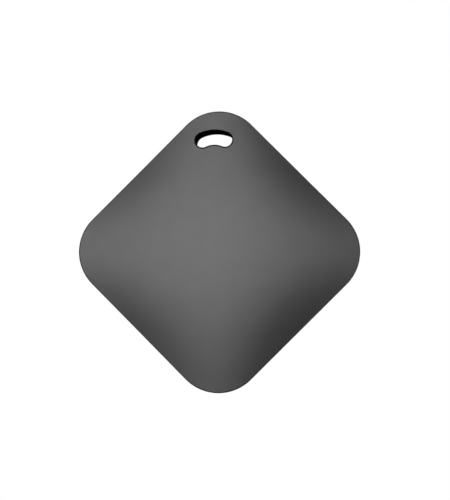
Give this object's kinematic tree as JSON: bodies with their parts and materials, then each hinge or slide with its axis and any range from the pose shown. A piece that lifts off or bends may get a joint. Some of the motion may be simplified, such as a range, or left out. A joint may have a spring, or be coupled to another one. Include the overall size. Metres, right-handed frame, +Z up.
{
  "type": "bluetooth tracker tag",
  "caption": "Rounded-square tracker tag with a crowned face that presses as a button, a lanyard slot at one corner and a twist-off battery door.",
  "frame": {"origin": "middle of the tag's bounding box", "axes": "+Z up through the corner with the lanyard slot, +Y out of the flat back, so the crowned face looks along -Y, +X to the right seen from the face"},
  "size_m": [0.0524, 0.008, 0.0523],
  "materials": {
    "shell": "fine satin moulded ABS",
    "door": "fine satin moulded ABS",
    "liner": "smooth black moulded plastic",
    "silicone": "matt black silicone",
    "board": "solder mask over glass epoxy",
    "black_epoxy": "moulded epoxy",
    "ceramic": "fired ceramic",
    "silvered_ceramic": "silvered ceramic",
    "brass": "rolled brass",
    "gold": "gold plating",
    "steel": "brushed nickel-plated steel",
    "film": "polyimide film",
    "foam": "closed-cell foam",
    "grommet": "natural polypropylene",
    "cathode": "pressed powder",
    "separator": "non-woven polypropylene",
    "lithium": "rolled lithium",
    "glue": "cured adhesive"
  },
  "bodies": {
    "housing": {"rear_housing": "shell", "slot_liner": "liner", "cover_gasket": "silicone", "main_board": "board", "board_screws": "steel", "ble_chip": "black_epoxy", "rtc_crystal": "steel", "main_crystal": "steel", "chip_antenna": "ceramic", "capacitors": "ceramic", "resistors": "black_epoxy", "inductors": "black_epoxy", "dome_pads": "gold", "snap_dome": "steel", "dome_film": "film", "insulator_film": "film", "negative_contact": "gold", "positive_contacts": "gold", "piezo_spring_centre": "gold", "piezo_spring_rim": "gold"},
    "cover": {"front_cover": "shell", "piezo_adhesive": "glue", "piezo_plate": "brass", "piezo_ceramic": "silvered_ceramic", "press_pad": "silicone"},
    "seal": {"door_seal": "silicone"},
    "door": {"battery_door": "door", "door_pad": "foam"},
    "cell": {"cell_can": "steel", "cell_gasket": "grommet", "cell_cap": "steel", "cell_cathode": "cathode", "cell_separator": "separator", "cell_anode": "lithium"}
  },
  "joints": [
    {"name": "cover_press", "type": "slide", "parent": "housing", "child": "cover", "axis": [0, 1, 0], "range_m": [0, 0.00025], "stiffness_N_per_m": 2000, "springref_m": -0.0002, "deforming": ["cover_gasket", "snap_dome", "dome_film", "piezo_spring_centre", "piezo_spring_rim"]},
    {"name": "door_lift", "type": "slide", "parent": "housing", "child": "seal", "axis": [0, 1, 0], "range_m": [0, 0.01201]},
    {"name": "door_twist", "type": "hinge", "parent": "seal", "child": "door", "pos_m": [0, 0.003, 0], "axis": [0, 1, 0], "range_deg": [0, 360]},
    {"name": "cell_lift", "type": "slide", "parent": "housing", "child": "cell", "axis": [0, 1, 0], "range_m": [0, 0.00541]}
  ],
  "couplings": [
    {"joint": "door_lift", "follows": "door_twist", "m_per_rad": 0.0019099},
    {"joint": "cell_lift", "follows": "door_twist", "m_per_rad": 0.00085944}
  ]
}
